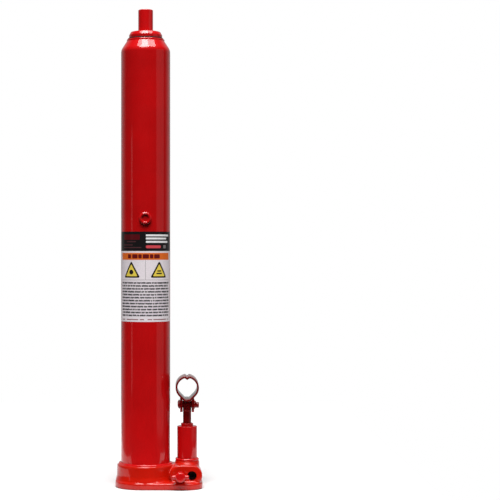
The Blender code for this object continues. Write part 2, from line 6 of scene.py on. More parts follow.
import bmesh
import bpy
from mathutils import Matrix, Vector


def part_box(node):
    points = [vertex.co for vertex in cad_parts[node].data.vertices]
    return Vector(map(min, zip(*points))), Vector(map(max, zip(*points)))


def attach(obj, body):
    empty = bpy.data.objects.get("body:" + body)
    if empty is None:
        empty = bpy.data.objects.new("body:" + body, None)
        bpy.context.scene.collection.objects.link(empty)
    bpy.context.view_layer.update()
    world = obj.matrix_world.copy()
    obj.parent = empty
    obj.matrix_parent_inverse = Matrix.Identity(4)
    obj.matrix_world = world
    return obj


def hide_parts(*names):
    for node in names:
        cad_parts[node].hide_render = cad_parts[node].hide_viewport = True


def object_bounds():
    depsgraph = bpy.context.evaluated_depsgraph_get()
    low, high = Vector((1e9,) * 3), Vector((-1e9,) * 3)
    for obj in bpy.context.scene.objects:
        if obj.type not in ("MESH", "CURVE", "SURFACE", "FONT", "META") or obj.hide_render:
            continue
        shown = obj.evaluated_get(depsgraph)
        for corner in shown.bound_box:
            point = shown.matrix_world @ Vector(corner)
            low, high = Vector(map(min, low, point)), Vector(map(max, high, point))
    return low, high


bl_info = {
    "name": "Bottle Jack",
    "version": (1, 0, 0),
    "blender": (4, 5, 0),
    "location": "View3D > Sidebar > Bottle Jack",
    "description": "Models and paints a long-ram hydraulic bottle jack on its frame",
    "category": "Object",
}

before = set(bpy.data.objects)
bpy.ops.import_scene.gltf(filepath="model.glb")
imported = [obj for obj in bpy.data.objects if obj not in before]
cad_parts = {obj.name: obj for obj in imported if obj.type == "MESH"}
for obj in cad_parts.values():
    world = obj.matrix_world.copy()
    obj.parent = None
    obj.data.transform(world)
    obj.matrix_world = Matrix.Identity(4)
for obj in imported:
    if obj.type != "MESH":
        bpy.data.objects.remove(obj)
CAD_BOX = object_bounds()

MM = 0.001
TINY = 0.001 * MM  # doubles lie closer together than this
HAIR = 0.05 * MM  # how far one layer of print stands off the layer behind it
SIDES = 128  # of the column's round pieces
SMALL_SIDES = 64
FEW_SIDES = 24  # of drilled galleries and printed spots

# Turns for a piece that is drawn along its own +Z.
FRONT = (math.pi / 2, 0, 0)  # own +Z to -Y, own +Y to +Z
SIDE = (0, math.pi / 2, 0)  # own +Z to +X
ACROSS = (math.pi / 2, 0, math.pi / 2)  # own +X to +Y, own +Y to +Z, own +Z to +X


def middle(node):
    low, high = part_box(node)
    return (low + high) / 2


def size(node):
    low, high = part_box(node)
    return high - low


TUBE_LOW, TUBE_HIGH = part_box("reservoir_tube")
NUT_LOW, NUT_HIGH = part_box("top_nut")
LABEL_LOW, LABEL_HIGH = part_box("label")
BASE_LOW, BASE_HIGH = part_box("base_casting")
PUMP_LOW, PUMP_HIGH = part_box("pump_cylinder")
SOCKET_LOW, SOCKET_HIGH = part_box("handle_socket")
TUBE_RADIUS = size("reservoir_tube").x / 2
PUMP_X = middle("pump_cylinder").x
PIVOT = (PUMP_X, 0, middle("pivot_pin").z)
LINK_PIN = (PUMP_X, middle("link_pin").y, middle("link_pin").z)
FULCRUM = (PUMP_X, middle("fulcrum_pin").y, middle("fulcrum_pin").z)
RELEASE_X, RELEASE_Z = middle("release_valve_stem").x, middle("release_valve_stem").z
RELIEF_X = middle("relief_screw").x

PIN_GAP = 0.3 * MM  # round a pin in its hole, and beside its head
EARS = 9.1 * MM  # from the lever's middle to an ear's outer face
LUGS = 8.6 * MM  # from the pump's middle to a lug's outer face
PINS = {  # the body each rides on, its radius, its head's radius and the outer face it holds
    "pivot": ("lever", 3.6 * MM, 5 * MM, EARS),
    "link": ("lever", 3 * MM, 4.5 * MM, EARS),
    "fulcrum": ("root", 3.2 * MM, 4.8 * MM, LUGS),
}


# ---------------------------------------------------------------- modelling by hand


def start(name):
    """Leaves the new primitive named and in edit mode, selected all over."""
    obj = bpy.context.object
    obj.name = name
    bpy.ops.object.mode_set(mode="EDIT")
    return obj


def nothing_selected():
    """Leaves edit mode and deselects everything."""
    if bpy.context.object and bpy.context.object.mode != "OBJECT":
        bpy.ops.object.mode_set(mode="OBJECT")
    bpy.ops.object.select_all(action="DESELECT")


def only(obj):
    """Makes one object the only one selected, and the active one."""
    nothing_selected()
    obj.select_set(True)
    bpy.context.view_layer.objects.active = obj


def tidy(obj, angle=35):
    """Merges doubles, turns the faces out and shades the round parts smooth."""
    only(obj)
    bpy.ops.object.mode_set(mode="EDIT")
    bpy.ops.mesh.select_all(action="SELECT")
    bpy.ops.mesh.remove_doubles(threshold=TINY)
    bpy.ops.mesh.normals_make_consistent(inside=False)
    bpy.ops.object.mode_set(mode="OBJECT")
    bpy.ops.object.shade_smooth_by_angle(angle=math.radians(angle))
    return obj


def place(obj, at=(0, 0, 0), turn=(0, 0, 0)):
    """Turns and moves a piece, then puts its place into its mesh."""
    only(obj)
    bpy.ops.object.transform_apply(location=True, rotation=True, scale=True)
    obj.rotation_euler = turn
    obj.location = at
    bpy.ops.object.transform_apply(location=True, rotation=True, scale=True)
    return obj


def modify(obj, kind, **settings):
    """Adds a modifier and applies it."""
    only(obj)
    modifier = obj.modifiers.new(kind.lower(), kind)
    for key, value in settings.items():
        setattr(modifier, key, value)
    bpy.ops.object.modifier_apply(modifier=modifier.name)
    return obj


def combine(obj, other, operation):
    """Joins another shape to a piece, or cuts it out, and throws the other away."""
    modify(obj, "BOOLEAN", operation=operation, solver="EXACT", object=other)
    bpy.data.objects.remove(other)
    return obj


def rounded(corners, closed=False, steps=6):
    """A path through (x, y, fillet) corners, with an arc of the fillet's radius at each."""
    path = []
    count = len(corners)
    for i, (x, y, fillet) in enumerate(corners):
        if not fillet or (not closed and i in (0, count - 1)):
            path.append((x, y))
            continue
        before, after = corners[i - 1], corners[(i + 1) % count]
        into = (before[0] - x, before[1] - y)
        out = (after[0] - x, after[1] - y)
        into_length, out_length = math.hypot(*into), math.hypot(*out)
        u = (into[0] / into_length, into[1] / into_length)
        v = (out[0] / out_length, out[1] / out_length)
        half = math.acos(max(-1, min(1, u[0] * v[0] + u[1] * v[1]))) / 2
        if half > math.radians(89):
            path.append((x, y))
            continue
        reach = min(fillet / math.tan(half), 0.49 * into_length, 0.49 * out_length)
        radius = reach * math.tan(half)
        bisector = (u[0] + v[0], u[1] + v[1])
        length = math.hypot(*bisector)
        away = radius / math.sin(half)
        centre = (x + bisector[0] / length * away, y + bisector[1] / length * away)
        first = math.atan2(y + u[1] * reach - centre[1], x + u[0] * reach - centre[0])
        last = math.atan2(y + v[1] * reach - centre[1], x + v[0] * reach - centre[0])
        sweep = (last - first + math.pi) % (2 * math.pi) - math.pi
        for k in range(steps + 1):
            angle = first + sweep * k / steps
            path.append((centre[0] + radius * math.cos(angle), centre[1] + radius * math.sin(angle)))
    return path


def lathe(name, path, sides=SMALL_SIDES, ring=False):
    """A circle drawn up a (radius, height) path by extruding and scaling. A ring's path comes back round."""
    nothing_selected()
    radius, height = path[0]
    fill = "NOTHING" if ring else "TRIFAN"
    bpy.ops.mesh.primitive_circle_add(vertices=sides, radius=radius, fill_type=fill, location=(0, 0, height))
    obj = start(name)
    extrude = bpy.ops.mesh.extrude_edges_move if ring else bpy.ops.mesh.extrude_region_move
    for wider, higher in path[1:] + (path[:1] if ring else []):
        extrude(TRANSFORM_OT_translate={"value": (0, 0, higher - height)})
        share = wider / radius
        bpy.ops.transform.resize(value=(share, share, 1), center_override=(0, 0, higher))
        radius, height = wider, higher
    bpy.ops.object.mode_set(mode="OBJECT")
    return place(tidy(obj))


def drawn(name, path, height, fill):
    """A circle whose points are moved to an outline at one height, left in edit mode."""
    nothing_selected()
    bpy.ops.mesh.primitive_circle_add(vertices=len(path), radius=1, fill_type=fill)
    obj = start(name)
    mesh = bmesh.from_edit_mesh(obj.data)
    for vertex, (x, y) in zip(mesh.verts, path):
        vertex.co = (x, y, height)
    bmesh.update_edit_mesh(obj.data)
    return obj


def bore(name, radius, low, high, at=(0, 0, 0), turn=(0, 0, 0), sides=SMALL_SIDES):
    """A plain rod to cut a round hole with."""
    return place(lathe(name, [(radius, low), (radius, high)], sides), at, turn)


def plate(name, path, low, high):
    """A flat outline in the piece's own XY plane, extruded from low to high."""
    obj = drawn(name, path, low, "NGON")
    bpy.ops.mesh.extrude_region_move(TRANSFORM_OT_translate={"value": (0, 0, high - low)})
    bpy.ops.object.mode_set(mode="OBJECT")
    return tidy(obj)


def soften(obj, width, segments=3, angle=40):
    """Rounds every edge sharper than the angle."""
    modify(obj, "BEVEL", width=width, segments=segments, harden_normals=False, limit_method="ANGLE",
           angle_limit=math.radians(angle))
    return tidy(obj)


def finish(obj, body, slot, material, *nodes):
    """Paints a piece, puts it on its body and hides the frame nodes it stands for."""
    obj.data.materials.clear()
    obj.data.materials.append(material)
    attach(obj, body)
    if nodes:
        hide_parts(*nodes)
    return obj


def sprayed(obj, body, *nodes, **paint):
    """Finishes a piece in red enamel."""
    return finish(obj, body, "red_enamel", enamel(obj.name + "_enamel", **paint), *nodes)


# ---------------------------------------------------------------- finishes


def fill_in(node, values):
    """Sets a node's own sockets, with a low line for each space in a socket's name."""
    for socket, value in values.items():
        node.inputs[socket.replace("_", " ")].default_value = value
    return node


def new_material(name, **values):
    """A material and its shader, with the numbers that are the same all over set on the shader."""
    material = bpy.data.materials.new(name)
    material.use_nodes = True
    return material, fill_in(material.node_tree.nodes["Principled BSDF"], values)


def add_node(material, kind, **values):
    return fill_in(material.node_tree.nodes.new(kind), values)


def link(material, source, target):
    material.node_tree.links.new(source, target)


def noise(material, scale, detail, stretch=(1, 1, 1)):
    """Noise on the piece's own coordinates, in cells of about 1 / scale metres."""
    own = add_node(material, "ShaderNodeTexCoord")
    mapping = add_node(material, "ShaderNodeMapping", Scale=stretch)
    cells = add_node(material, "ShaderNodeTexNoise", Scale=scale, Detail=detail)
    link(material, own.outputs["Object"], mapping.inputs["Vector"])
    link(material, mapping.outputs["Vector"], cells.inputs["Vector"])
    return cells


def vary(material, shader, socket, cells, low, high, places=(0.3, 0.7)):
    """Lets noise run one of the shader's sockets between two colours or two numbers."""
    ramp = add_node(material, "ShaderNodeValToRGB")
    for element, position, value in zip(ramp.color_ramp.elements, places, (low, high)):
        element.position = position
        element.color = (value, value, value, 1) if isinstance(value, float) else (*value, 1)
    link(material, cells.outputs["Fac"], ramp.inputs["Fac"])
    link(material, ramp.outputs["Color"], shader.inputs[socket])


def bump(material, shader, cells, strength, distance, below=None):
    node = add_node(material, "ShaderNodeBump", Strength=strength, Distance=distance)
    link(material, cells.outputs["Fac"], node.inputs["Height"])
    if below:
        link(material, below.outputs["Normal"], node.inputs["Normal"])
    link(material, node.outputs["Normal"], shader.inputs["Normal"])
    return node


def shaded(colour, share):
    return [min(1, channel * share) for channel in colour]


def enamel(name, peel=1.0, sand=0.0, shade=1.0, colour=None, coat=None):
    """Sprayed red enamel: faint mottling, orange peel, a sandy ground on castings, and painted shade on
    shadowed pieces.
    """
    look = bpy.context.scene.jack_enamel
    material, shader = new_material(name, Roughness=look.roughness, Coat_Weight=coat or look.coat,
                                    Coat_Roughness=look.coat_roughness, Specular_IOR_Level=0.06)
    # This factor scales the whole enamel colour down as painted shade for pieces that sit in shadow
    red = shaded(colour or look.colour, shade)
    vary(material, shader, "Base Color", noise(material, 24, 4), shaded(red, 0.90), shaded(red, 1.06),
         (0.32, 0.68))
    vary(material, shader, "Roughness", noise(material, 75, 5), look.roughness * 0.85, look.roughness * 1.2,
         (0.35, 0.75))
    orange_peel = bump(material, shader, noise(material, 420, 2), 0.10 * peel, 0.06 * MM)
    if sand:
        bump(material, shader, noise(material, 110, 3), 0.35, sand, orange_peel)
    return material


def metal(name, colour, roughness):
    """Machined metal with fine tool marks and a little staining."""
    material, shader = new_material(name, Roughness=roughness, Metallic=1.0)
    vary(material, shader, "Base Color", noise(material, 90, 5), shaded(colour, 0.7), colour)
    marks = noise(material, 900, 3, (1, 1, 0.05))
    vary(material, shader, "Roughness", marks, roughness * 0.75, roughness * 1.4)
    bump(material, shader, marks, 0.2, 0.02 * MM)
    return material


def polymer(name, colour, roughness):
    """Moulded rubber or seal plastic, slightly uneven."""
    material, shader = new_material(name, Roughness=roughness)
    grain = noise(material, 500, 3)
    vary(material, shader, "Base Color", grain, shaded(colour, 0.75), colour)
    bump(material, shader, grain, 0.25, 0.03 * MM)
    return material


def ink(name, colour):
    """Ink on film: almost even, with a slight grain and the film's soft ripple."""
    material, shader = new_material(name, Roughness=0.32, Coat_Weight=0.12, Coat_Roughness=0.2,
                                    Specular_IOR_Level=0.15)
    vary(material, shader, "Base Color", noise(material, 700, 3), shaded(colour, 0.90), colour)
    bump(material, shader, noise(material, 60, 2), 0.1, 0.1 * MM)
    return material


# ---------------------------------------------------------------- the ram column


def reservoir():
    """The painted oil tube with its rounded shoulder, open neck and filler hole."""
    inner = TUBE_RADIUS - 2.5 * MM
    neck, rim = 21.3 * MM, 24.6 * MM
    top = TUBE_HIGH.z
    path = rounded([
        (inner, TUBE_LOW.z, 0), (TUBE_RADIUS, TUBE_LOW.z, 0), (TUBE_RADIUS, top - 14.2 * MM, 12 * MM),
        (rim, top - 2.8 * MM, 2 * MM), (rim, top, 1.2 * MM), (neck, top, 0),
        (neck, top - 18.5 * MM, 0), (24 * MM, top - 20.5 * MM, 0), (inner, top - 23.5 * MM, 0),
    ], steps=10)
    tube = lathe("reservoir_shell", path, SIDES, ring=True)
    filler = (0, 0, middle("filler_plug").z)
    combine(tube, bore("filler_hole", 5.2 * MM, 20 * MM, 40 * MM, filler, FRONT), "DIFFERENCE")
    return sprayed(tidy(tube), "root", "reservoir_tube")


def top_nut():
    """The gland nut that closes the column: a sloped rim, a chamfered bore and two grooves for its seals."""
    radius = size("top_nut").x / 2
    hole, groove, thread = 14.4 * MM, 17.3 * MM, 20.9 * MM
    low, high = NUT_LOW.z, NUT_HIGH.z
    seat = TUBE_HIGH.z + 1.7 * MM
    path = rounded([
        (hole, low, 0), (thread, low, 1 * MM), (thread, seat, 0), (radius, seat, 0.5 * MM),
        (radius, high - 4.2 * MM, 2 * MM), (radius - 2.4 * MM, high, 1 * MM),
        (hole + 1.2 * MM, high, 0.4 * MM), (hole, high - 1 * MM, 0),
        (hole, high - 3.2 * MM, 0), (groove, high - 3.2 * MM, 0), (groove, high - 7.5 * MM, 0),
        (hole, high - 7.5 * MM, 0), (hole, low + 8.9 * MM, 0), (groove, low + 8.9 * MM, 0),
        (groove, low + 4.3 * MM, 0), (hole, low + 4.3 * MM, 0),
    ], steps=8)
    return sprayed(lathe("gland_nut", path, SIDES, ring=True), "root", "top_nut")


def nut_washer():
    """The dark seal between the nut and the column's rim."""
    low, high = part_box("nut_washer")
    inner, outer = 21.2 * MM, (high.x - low.x) / 2
    path = rounded([
        (inner, low.z, 0), (outer, low.z, 0.5 * MM), (outer, high.z, 0.5 * MM), (inner, high.z, 0)
    ], steps=4)
    washer = lathe("nut_seal", path, SIDES, ring=True)
    rubber = polymer("washer_rubber", (0.02, 0.012, 0.012), 0.6)
    return finish(washer, "root", "black_rubber", rubber, "nut_washer")


def ram():
    """The ram, its shoulder just inside the nut, and the reduced nose with a chamfered end."""
    low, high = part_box("ram_rod")
    radius = (high.x - low.x) / 2
    tail, nose = 7 * MM, 9.65 * MM
    shoulder = NUT_HIGH.z - 0.2 * MM
    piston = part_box("ram_piston")[1].z + 0.3 * MM
    path = rounded([
        (tail, low.z, 0.4 * MM), (tail, piston, 0), (radius, piston, 0.6 * MM),
        (radius, shoulder, 0.8 * MM), (nose, shoulder, 1.2 * MM), (nose, high.z, 1.1 * MM),
        (1 * MM, high.z, 0),
    ])
    return sprayed(lathe("ram_with_nose", path, SIDES), "ram", "ram_rod")


def filler_plug():
    """The rubber bung in the front of the column, painted over: a raised rim round a dished centre."""
    low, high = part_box("filler_plug")
    back, front = -high.y, -low.y
    shank, head = 4.8 * MM, 8 * MM
    face, dish = TUBE_RADIUS + 0.4 * MM, front - 1.9 * MM
    path = rounded([
        (3.6 * MM, back, 0), (shank, back, 0.5 * MM), (shank, face, 0), (head, face, 0.3 * MM),
        (head, front - 0.8 * MM, 1.2 * MM), (6.6 * MM, front, 1.0 * MM), (5.0 * MM, front, 0.9 * MM),
        (4.2 * MM, dish, 0.8 * MM), (1 * MM, dish, 0),
    ])
    plug = place(lathe("oil_filler_bung", path), (0, 0, middle("filler_plug").z), FRONT)
    return sprayed(plug, "filler", "filler_plug")


# ---------------------------------------------------------------- the label


FILM_LIFT = 0.06 * MM  # how far the film stands off the column
INK_LIFT = FILM_LIFT + HAIR  # and the first layer of print
CARD = 0.03 * MM  # thickness of film and print
LABEL_TOP = LABEL_HIGH.z
LABEL_FOOT = (LABEL_HIGH.z - LABEL_LOW.z) / MM  # from the label's top to its foot, in millimetres
PANEL_FOOT = 25  # the head panel's foot, in millimetres below the label's top
PRINT_HALF = 38  # half the printed width, in millimetres
SIGN_X, SIGN_FOOT = 19, 59.3  # the signs' middles and foot, in millimetres across and down


def card(left, right, low, high, lift, corner=0.0):
    """A thin flat card facing the front, its sides along the arc and its height along Z."""
    corners = [(left, low, corner), (right, low, corner), (right, high, corner), (left, high, corner)]
    return plate("card", rounded(corners, closed=True, steps=4), lift, lift + CARD)


def block(left, right, top, foot, lift, corner=0.0):
    """A card in millimetres, across from the column's front line and down from the label's top."""
    return card(left * MM, right * MM, LABEL_TOP - foot * MM, LABEL_TOP - top * MM, lift, corner * MM)


def triangle(across, foot, side, lift, corner):
    """A flat triangle with equal sides and a level foot, in millimetres as a block is."""
    half, low, corner = side / 2, LABEL_TOP - foot * MM, corner * MM
    high = low + side * MM * math.sqrt(3) / 2
    corners = [((across - half) * MM, low, corner), ((across + half) * MM, low, corner),
               (across * MM, high, corner)]
    return plate("triangle", rounded(corners, closed=True, steps=4), lift, lift + CARD)


def spot(across, down, radius, lift):
    """A flat disc, in millimetres as a block is."""
    turns = [2 * math.pi * i / FEW_SIDES for i in range(FEW_SIDES)]
    path = [((across + radius * math.cos(turn)) * MM, LABEL_TOP + (radius * math.sin(turn) - down) * MM)
            for turn in turns]
    return plate("spot", path, lift, lift + CARD)


def joined(name, pieces):
    """Several shapes as one object."""
    only(pieces[0])
    for piece in pieces[1:]:
        piece.select_set(True)
    bpy.ops.object.join()
    pieces[0].name = name
    return pieces[0]


def wrap(obj):
    """Cuts flat cards into narrow strips and bends them round the column."""
    place(obj, turn=FRONT)
    across = [vertex.co.x for vertex in obj.data.vertices]
    left, width = min(across), max(across) - min(across)
    strip = 1.5 * MM
    strips = max(1, round(width / strip))
    bpy.ops.object.mode_set(mode="EDIT")
    for i in range(1, strips):
        bpy.ops.mesh.select_all(action="SELECT")
        bpy.ops.mesh.bisect(plane_co=(left + width * i / strips, 0, 0), plane_no=(1, 0, 0))
    bpy.ops.object.mode_set(mode="OBJECT")
    modify(obj, "SIMPLE_DEFORM", deform_method="BEND", deform_axis="Z", angle=width / TUBE_RADIUS)
    place(obj, (0, -TUBE_RADIUS, 0))
    return tidy(obj)


def printed(name, colour, cards, *nodes):
    """Cards of one colour, joined, wrapped round the column and finished."""
    return finish(wrap(joined(name, cards)), "root", "printed_film", ink(name + "_ink", colour), *nodes)


def label_film():
    """The printed film itself, wrapped round the front of the column."""
    look = bpy.context.scene.jack_label
    film = card(-look.half_width, look.half_width, LABEL_LOW.z, LABEL_TOP, FILM_LIFT, 1.5 * MM)
    return printed("label_film", look.film, [film], "label")


def label_panel():
    """The dark head panel, with plain blocks where a maker's print would be."""
    half = bpy.context.scene.jack_label.half_width
    over = INK_LIFT + HAIR
    bar, dim_bar = 1.25, 0.6  # half heights, in millimetres
    panel = card(-half, half, LABEL_TOP - PANEL_FOOT * MM, LABEL_TOP, INK_LIFT, 1.2 * MM)
    printed("label_head_panel", (0.012, 0.010, 0.011), [panel])
    bars = [block(0.9, right, down - bar, down + bar, over, 0.5)
            for right, down in ((36.4, 4.9), (31.5, 8.9), (34.5, 13.2))]
    printed("label_head_bars", (0.95, 0.94, 0.94), bars)
    printed("label_red_blocks", (0.74, 0.08, 0.10), [block(0.8, 21.5, 17.7, 21.4, over, 1.6)])
    printed("label_dim_block", (0.11, 0.006, 0.010), [block(-33, -7, 3.6, 10.6, over, 0.8)])
    dim_bars = [block(left, right, down - dim_bar, down + dim_bar, over, 0.4)
                for left, right, down in ((-27, -12, 13), (-33, -17, 17.2), (-33, -5, 20.6))]
    printed("label_dim_bars", (0.10, 0.035, 0.042), dim_bars)
    printed("label_grey_square", (0.24, 0.21, 0.21), [block(25.5, 30.5, 17.4, 21.6, over, 0.6)])


def label_band():
    """The orange band below the head, with plain dark blocks."""
    top, foot, half_block = 27.4, 36.3, 2.6
    level = (top + foot) / 2
    band = block(-PRINT_HALF, PRINT_HALF, top, foot, INK_LIFT, 0.6)
    printed("label_orange_band", (0.86, 0.17, 0.022), [band])
    blocks = [block(left, left + width, level - half_block, level + half_block, INK_LIFT + HAIR, 0.9)
              for left, width in ((-24.5, 5), (-17.5, 7.5), (-9, 4.5), (-3.2, 8), (6, 4.5), (11.7, 8))]
    printed("label_band_blocks", (0.15, 0.008, 0.010), blocks)


def label_signs():
    """Two plain triangles in a ruled row: yellow with dark rims, one with a spot and one with bars."""
    over, top_layer = INK_LIFT + HAIR, INK_LIFT + 2 * HAIR
    dark = (0.025, 0.018, 0.015)
    rims = [triangle(across, SIGN_FOOT, 25, INK_LIFT, 1.3) for across in (-SIGN_X, SIGN_X)]
    fields = [triangle(across, SIGN_FOOT - 1.9, 18.1, over, 0.7) for across in (-SIGN_X, SIGN_X)]
    marks = [spot(-SIGN_X, SIGN_FOOT - 7.2, 3.1, top_layer)]
    marks += [block(SIGN_X - reach, SIGN_X + reach, foot - 1.7, foot, top_layer, 0.5)
              for reach, foot in ((4.2, SIGN_FOOT - 4.6), (2.9, SIGN_FOOT - 7.8))]
    printed("label_sign_rims", dark, rims)
    printed("label_sign_fields", (0.95, 0.74, 0.10), fields)
    printed("label_sign_marks", dark, marks)
    row, side, side_rule = SIGN_FOOT + 3, 40, 0.2
    rules = [block(-PRINT_HALF, PRINT_HALF, row - 0.35, row, INK_LIFT),
             block(0.3, 0.65, 36.6, row - 0.4, INK_LIFT)]
    rules += [block(across - side_rule, across + side_rule, PANEL_FOOT + 0.4, LABEL_FOOT - 1.6, INK_LIFT)
              for across in (-side, side)]
    printed("label_rules", (0.30, 0.27, 0.27), rules)


def stretched(sample, left, right, level):
    """A copy of a card that is one metre wide, with its own mesh, drawn in to its width and moved."""
    copy = sample.copy()
    copy.data = sample.data.copy()
    bpy.context.collection.objects.link(copy)
    copy.location = ((left + right) / 2, level, 0)
    copy.scale = (right - left, 1, 1)
    return copy


def label_lines():
    """Rows of short plain dashes in place of print, and one paler row at the foot."""
    look = bpy.context.scene.jack_label
    draw = random.Random(look.seed)
    half, first = 37.5 * MM, LABEL_TOP - 66 * MM
    half_dash, gap, least, wander = 1 * MM, 0.17 * MM, 0.3 * MM, 0.15
    sample = card(-0.5, 0.5, -half_dash, half_dash, INK_LIFT)
    dashes = []
    for row in range(look.rows):
        level = first - row * look.row_pitch
        across = -half
        while across < half - 1.5 * MM:
            for _ in range(draw.randint(2, 7)):
                right = min(across + draw.uniform(0.7, 1.5) * MM, half)
                if right - across > least:
                    slip = draw.uniform(-wander, wander) * MM
                    dashes.append(stretched(sample, across, right, level + slip))
                across = right + gap
            across += draw.uniform(0.6, 1.0) * MM
    dashes.append(stretched(sample, half - 1 * MM, half, first))
    bpy.data.objects.remove(sample)
    printed("label_rows", (0.012, 0.007, 0.012), dashes)
    words = [block(left, right, LABEL_FOOT - 3.6, LABEL_FOOT - 2.4, INK_LIFT, 0.4)
             for left, right in ((-36, -30), (-27, -9), (-7, -1.5), (3, 9), (10.5, 31), (33, 36))]
    printed("label_foot_row", (0.33, 0.16, 0.17), words)


# ---------------------------------------------------------------- the base


def stadium(centre, half_length, radius):
    """Two half circles joined by straight sides, long along the outline's first axis."""
    path, steps = [], 20
    for side, start_angle in ((1, -90), (-1, 90)):
        for i in range(steps + 1):
            angle = math.radians(start_angle + 180 * i / steps)
            path.append((centre[0] + side * half_length + radius * math.cos(angle),
                         centre[1] + radius * math.sin(angle)))
    return path


def foot_outline(inset):
    """The foot plate's outline: almost half round under the column, with smaller corners under the pump."""
    left, right, half = BASE_LOW.x + inset, BASE_HIGH.x - inset, BASE_HIGH.y - inset
    wide, narrow = 35 * MM - inset, 20 * MM - inset
    corners = [(left, -half, wide), (right, -half, narrow), (right, half, narrow), (left, half, wide)]
    return rounded(corners, closed=True, steps=20)


def foot_plate():
    """The foot plate, with a round shoulder and a slight slope up to the collar."""
    plate_top, inset = 8.6 * MM, 0.2 * MM
    foot = soften(plate("foot_plate", foot_outline(inset), inset, plate_top), 1.4 * MM)
    slope = plate("foot_slope", foot_outline(3.4 * MM), 1 * MM, plate_top + 1.2 * MM)
    return combine(foot, slope, "UNION")


def casting_forms():
    """The collar, the pump's seat, the web, the valve boss and the fulcrum lugs, before they run together."""
    inside, reach = 3 * MM, 32 * MM
    collar = lathe("collar", rounded([
        (38.9 * MM, inside, 0), (38.9 * MM, 9.5 * MM, 0), (37.4 * MM, 15 * MM, 3 * MM),
        (36.9 * MM, 29 * MM, 2 * MM), (32.6 * MM, 30.5 * MM, 0),
    ]), SIDES)
    seat = place(lathe("pump_seat", rounded([
        (17 * MM, inside, 0), (16 * MM, 20 * MM, 0), (15.9 * MM, 32 * MM, 1.5 * MM),
        (13.6 * MM, BASE_HIGH.z, 0.5 * MM), (10.5 * MM, BASE_HIGH.z, 0),
    ])), (PUMP_X, 0, 0))
    nothing_selected()
    bpy.ops.mesh.primitive_cube_add(size=1, location=(PUMP_X / 2 + 10 * MM, 0, 16.4 * MM),
                                    scale=(PUMP_X - 20 * MM, 27 * MM, 27 * MM))
    web = place(start("web"))
    valves = stadium(((RELEASE_X + RELIEF_X) / 2, RELEASE_Z), (RELIEF_X - RELEASE_X) / 2, 13.3 * MM)
    boss = place(soften(plate("valve_boss", valves, 1 * MM, reach), 1.6 * MM), turn=FRONT)
    lug_top, lug_round = FULCRUM[2] + 7.5 * MM, 7.4 * MM
    outline = rounded([
        (8 * MM, inside, 0), (32.5 * MM, inside, 0), (32.5 * MM, lug_top, lug_round),
        (17.5 * MM, lug_top, lug_round), (8 * MM, 20 * MM, 0),
    ], closed=True, steps=10)
    lugs = [place(plate("lug", outline, low, low + 4 * MM), (PUMP_X, 0, 0), ACROSS)
            for low in (-LUGS, LUGS - 4 * MM)]
    return [collar, seat, web, boss, *lugs]


def casting_bores():
    """The seats, valve bores and oil galleries that are drilled after casting."""
    gallery, top, deep = 5.8 * MM, 50 * MM, 90 * MM
    drill, feed, chamber = 1.8 * MM, 1.5 * MM, 2.4 * MM  # radii
    pressed, drawn_in = -3 * MM, 3 * MM  # the two galleries' places along Y
    release, relief = (RELEASE_X, 0, RELEASE_Z), (RELIEF_X, 0, RELEASE_Z)
    galleries = (
        ("pressure_gallery", drill, -1 * MM, deep, (0, pressed, gallery), SIDE),
        ("suction_gallery", drill, 23 * MM, deep, (0, drawn_in, gallery), SIDE),
        ("discharge_chamber", chamber, 7.9 * MM, 13 * MM, (0, pressed, 0)),
        ("suction_chamber", chamber, 7.9 * MM, 15 * MM, (PUMP_X, drawn_in, 0)),
        ("ram_feed", feed, gallery, 9 * MM, (0, pressed, 0)),
        ("pump_inlet", feed, gallery, 9 * MM, (PUMP_X, drawn_in, 0)),
        ("pump_outlet", feed, gallery, 15 * MM, (PUMP_X, pressed, 0)),
        ("strainer_feed", feed, gallery, 13 * MM, (24.6 * MM, drawn_in, 0)),
    )
    return [
        bore("tube_seat", TUBE_RADIUS + 0.3 * MM, 12 * MM, top, sides=SIDES),
        bore("barrel_seat", 10.3 * MM, 14 * MM, top, (PUMP_X, 0, 0)),
        *(bore(*drilled, sides=FEW_SIDES) for drilled in galleries),
        bore("release_bore", 4.8 * MM, 12 * MM, 40 * MM, release, FRONT),
        bore("relief_bore", 3.2 * MM, 12 * MM, 25 * MM, relief, FRONT),
        bore("relief_mouth", 6.1 * MM, 20 * MM, 40 * MM, relief, FRONT),
        bore("fulcrum_bore", PINS["fulcrum"][1] + PIN_GAP, -12 * MM, 12 * MM, FULCRUM, SIDE),
    ]


def base():
    """One casting: its forms run together with soft fillets, then the bores cut crisp into it."""
    look = bpy.context.scene.jack_casting
    casting = joined("cast_base", [foot_plate(), *casting_forms()])
    modify(casting, "REMESH", mode="VOXEL", voxel_size=look.grain)
    modify(casting, "SMOOTH", factor=0.5, iterations=look.softness)
    for cutter in casting_bores():
        combine(casting, cutter, "DIFFERENCE")
    return sprayed(tidy(casting, 40), "root", "base_casting",
                   peel=1.6, sand=look.sand_depth, colour=look.colour, coat=0.7)


